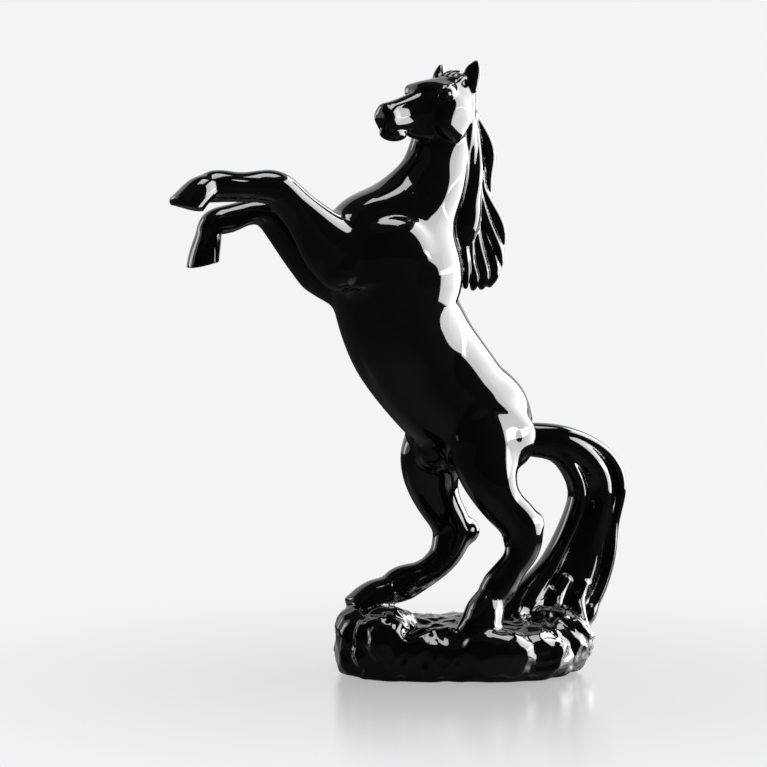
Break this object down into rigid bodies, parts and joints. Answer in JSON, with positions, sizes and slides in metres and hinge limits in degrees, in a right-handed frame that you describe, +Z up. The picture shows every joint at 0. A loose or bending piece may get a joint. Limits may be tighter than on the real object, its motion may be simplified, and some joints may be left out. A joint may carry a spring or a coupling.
{
  "type": "crystal rearing horse sculpture",
  "caption": "Rearing horse with flowing mane and tail on a rough rock, cast as one solid piece of black crystal; stands on its flat underside.",
  "frame": {"origin": "middle of the flat underside of the rock base, on the surface that the sculpture stands on", "axes": "+Z up; -X the way the horse rears; -Y toward the viewer of the horse's left side, which is the show side"},
  "size_m": [0.2882, 0.1896, 0.3914],
  "materials": {
    "black_crystal": "polished black crystal, opaque, very glossy"
  },
  "bodies": {
    "root": {"rearing_horse": "black_crystal"}
  },
  "joints": []
}
